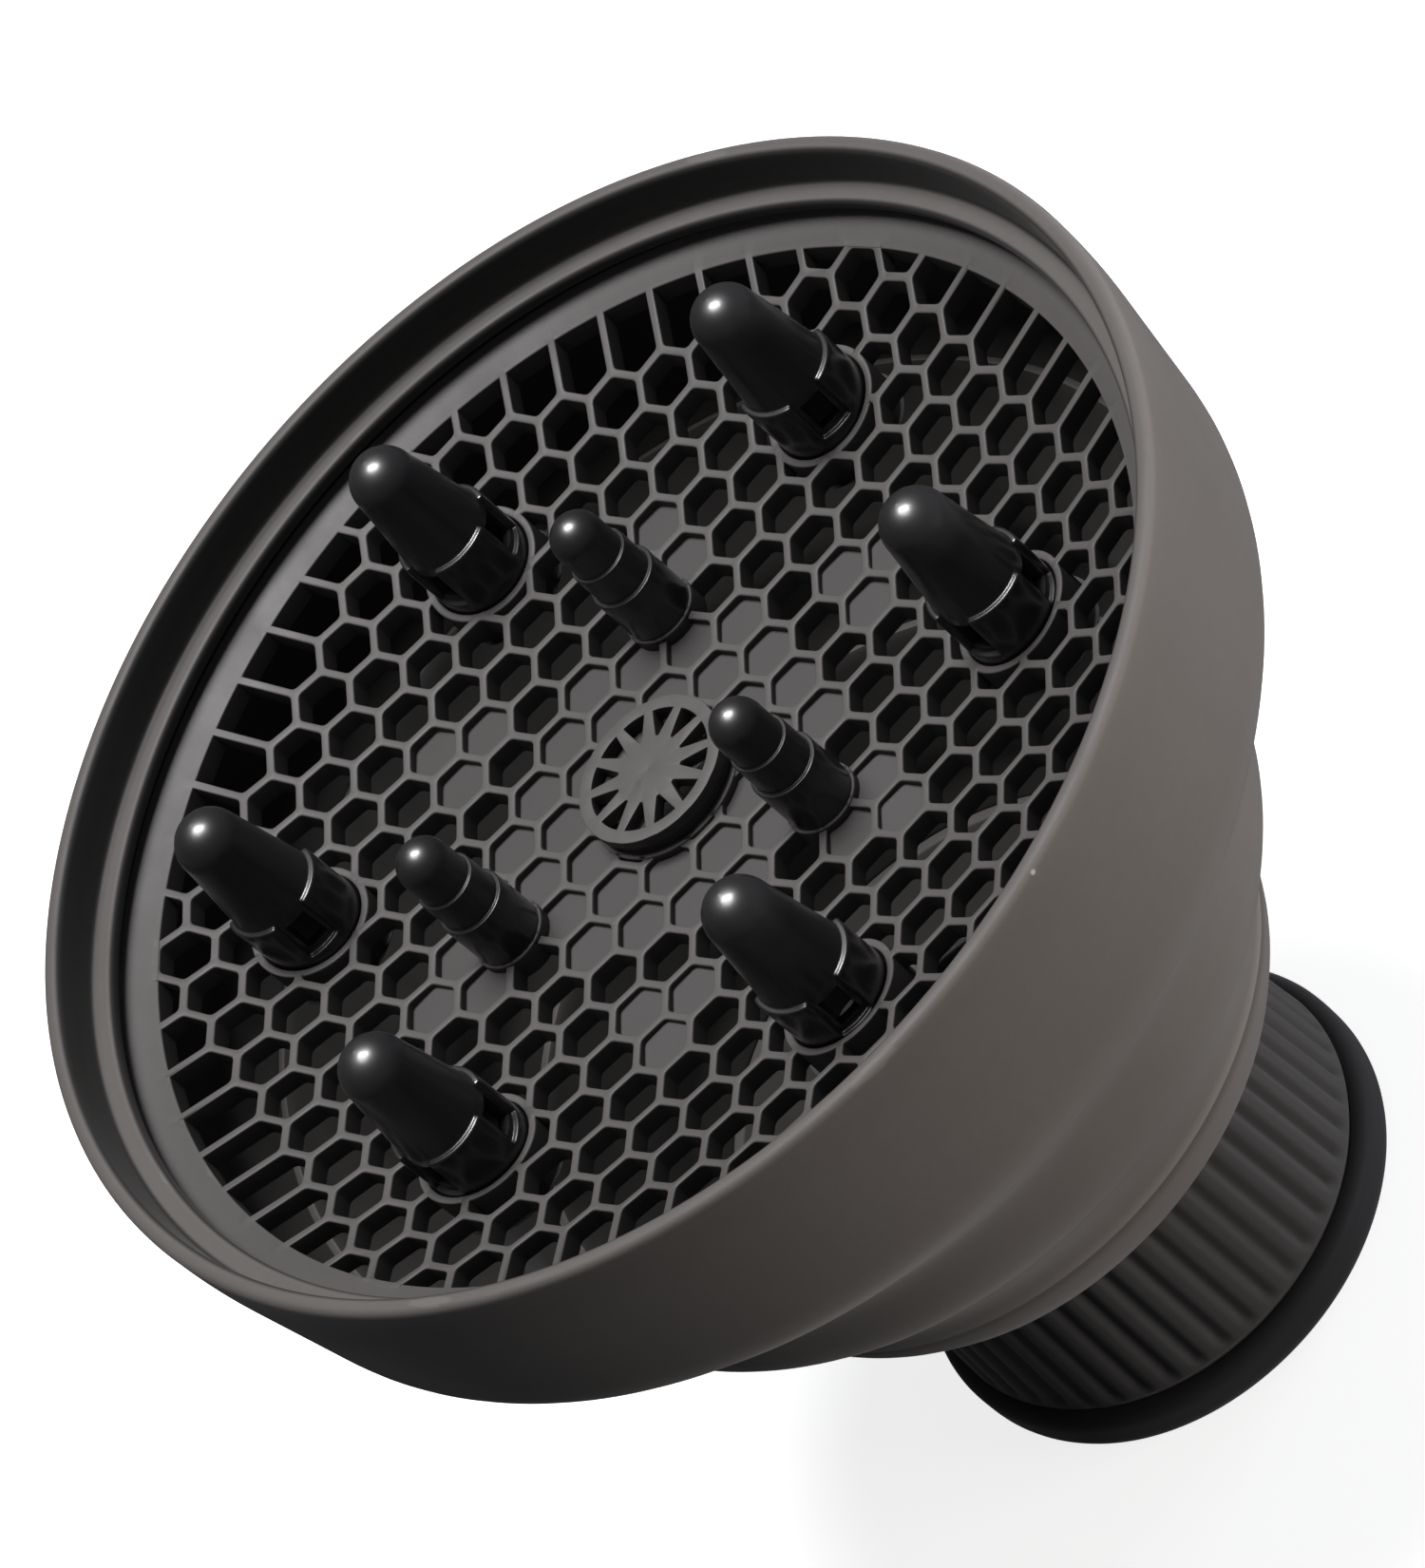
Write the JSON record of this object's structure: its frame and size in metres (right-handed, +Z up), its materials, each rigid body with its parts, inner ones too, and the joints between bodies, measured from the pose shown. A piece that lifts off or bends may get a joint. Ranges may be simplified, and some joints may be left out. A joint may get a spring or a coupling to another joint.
{
  "type": "hair dryer diffuser",
  "caption": "Collapsible silicone hair dryer diffuser: folding bowl, ribbed neck that stretches over a dryer barrel, dished honeycomb grille with hollow fingers and a centre rosette.",
  "frame": {"origin": "centre of the neck's mouth, on the plane the diffuser stands on", "axes": "+Z up the airflow axis from the neck to the grille, +X towards the first large finger"},
  "size_m": [0.1548, 0.1548, 0.1345],
  "materials": {
    "silicone": "matte warm dark grey silicone",
    "dark_silicone": "matte near-black silicone",
    "grille_plastic": "satin dark grey moulded plastic",
    "finger_plastic": "near-black moulded plastic with a soft shine"
  },
  "bodies": {
    "neck": {"ribbed_neck": "silicone", "mouth_ring": "dark_silicone", "fold_web_lower": "silicone"},
    "lower_ring": {"fold_ring_lower": "silicone", "fold_web_middle": "silicone"},
    "upper_ring": {"fold_ring_upper": "silicone", "fold_web_upper": "silicone"},
    "bowl": {"bowl_wall": "silicone", "honeycomb_grille": "grille_plastic", "centre_cap": "grille_plastic", "large_finger_1": "finger_plastic", "large_finger_2": "finger_plastic", "large_finger_3": "finger_plastic", "large_finger_4": "finger_plastic", "large_finger_5": "finger_plastic", "large_finger_6": "finger_plastic", "small_finger_1": "finger_plastic", "small_finger_2": "finger_plastic", "small_finger_3": "finger_plastic"}
  },
  "joints": [
    {"name": "lower_fold", "type": "slide", "parent": "neck", "child": "lower_ring", "axis": [0, 0, -1], "range_m": [0, 0.011], "deforming": ["fold_web_lower"]},
    {"name": "middle_fold", "type": "slide", "parent": "lower_ring", "child": "upper_ring", "axis": [0, 0, -1], "range_m": [0, 0.022], "deforming": ["fold_web_middle"]},
    {"name": "upper_fold", "type": "slide", "parent": "upper_ring", "child": "bowl", "axis": [0, 0, -1], "range_m": [0, 0.028], "deforming": ["fold_web_upper"]}
  ]
}
